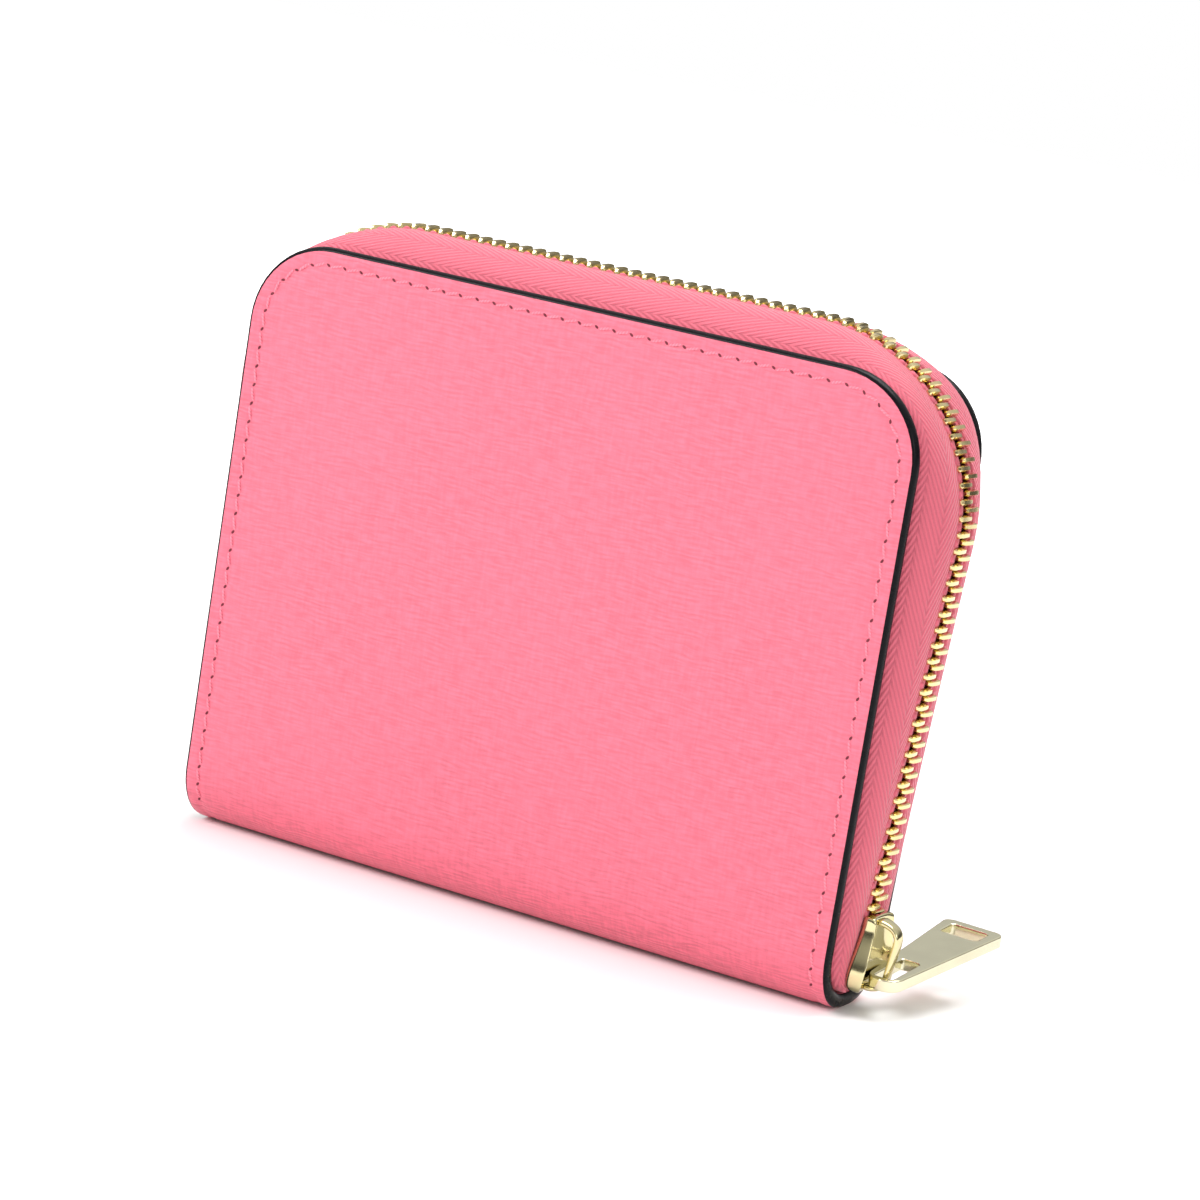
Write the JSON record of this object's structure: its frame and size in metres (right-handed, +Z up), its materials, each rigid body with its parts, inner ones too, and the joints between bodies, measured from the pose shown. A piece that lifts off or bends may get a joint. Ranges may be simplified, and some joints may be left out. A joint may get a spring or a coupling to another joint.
{
  "type": "zip-around wallet",
  "caption": "Compact zip-around wallet in cross-grained leather, standing on its spine, with a metal zip round three sides and a flat windowed puller.",
  "frame": {"origin": "middle of the flat strip on which the spine rests", "axes": "+X along the spine towards the end where the closed zip's slider sits, +Y through the thickness from the front cover to the back cover, +Z up from the spine to the covers' free edge"},
  "size_m": [0.1378, 0.0452, 0.1058],
  "materials": {
    "outer_leather": "cross-grained, lightly coated, black painted edges",
    "board": "bonded leather board, hidden",
    "lining": "smooth matt lining",
    "card_leather": "cross-grained, turned edges",
    "gusset_leather": "soft thin leather",
    "zip_tape": "herringbone woven tape",
    "zip_metal": "polished light gold plate",
    "slider_metal": "polished light gold plate"
  },
  "bodies": {
    "spine": {"back_coin_wall": "lining", "back_coin_zip_tape": "zip_tape", "back_gusset_left": "gusset_leather", "back_gusset_right": "gusset_leather", "coin_zip_stops": "zip_metal", "coin_zip_teeth": "zip_metal", "front_coin_wall": "lining", "front_coin_zip_tape": "zip_tape", "front_gusset_left": "gusset_leather", "front_gusset_right": "gusset_leather", "spine_leather": "outer_leather", "spine_lining": "lining", "zip_bottom_stop": "zip_metal", "zip_tape_end_left": "zip_tape", "zip_tape_end_right": "zip_tape", "zip_teeth_end_left": "zip_metal", "zip_teeth_end_right": "zip_metal", "zip_top_stops": "zip_metal"},
    "front_cover": {"front_backing": "outer_leather", "front_board": "board", "front_card_leaf_1": "card_leather", "front_card_leaf_2": "card_leather", "front_card_leaf_3": "card_leather", "front_card_leaf_4": "card_leather", "front_leather": "outer_leather", "front_lining": "lining", "front_zip_tape": "zip_tape", "front_zip_teeth": "zip_metal"},
    "back_cover": {"back_backing": "outer_leather", "back_board": "board", "back_card_leaf_1": "card_leather", "back_card_leaf_2": "card_leather", "back_card_leaf_3": "card_leather", "back_card_leaf_4": "card_leather", "back_leather": "outer_leather", "back_lining": "lining", "back_zip_tape": "zip_tape", "back_zip_teeth": "zip_metal"},
    "zip_slider": {"zip_slider": "slider_metal"},
    "zip_puller": {"zip_puller": "slider_metal"},
    "coin_slider": {"coin_zip_slider": "slider_metal"},
    "coin_puller": {"coin_zip_puller": "slider_metal"}
  },
  "joints": [
    {"name": "front_cover_hinge", "type": "hinge", "parent": "spine", "child": "front_cover", "pos_m": [0, -0.0112, 0.009], "axis": [1, 0, 0], "range_deg": [0, 35]},
    {"name": "back_cover_hinge", "type": "hinge", "parent": "spine", "child": "back_cover", "pos_m": [0, 0.0112, 0.009], "axis": [-1, 0, 0], "range_deg": [0, 35]},
    {"name": "zip_slide", "type": "slide", "parent": "spine", "child": "zip_slider", "axis": [0.0506, 0, 0.9987], "range_m": [0, 0.059]},
    {"name": "puller_swing", "type": "hinge", "parent": "zip_slider", "child": "zip_puller", "pos_m": [0.06583, 0, 0.00594], "axis": [-0.0506, 0, -0.9987], "range_deg": [0, 174]},
    {"name": "coin_zip_slide", "type": "slide", "parent": "spine", "child": "coin_slider", "axis": [-1, 0, 0], "range_m": [0, 0.073]},
    {"name": "coin_puller_flip", "type": "hinge", "parent": "coin_slider", "child": "coin_puller", "pos_m": [0.0375, 0, 0.08631], "axis": [0, 1, 0], "range_deg": [0, 170]}
  ]
}
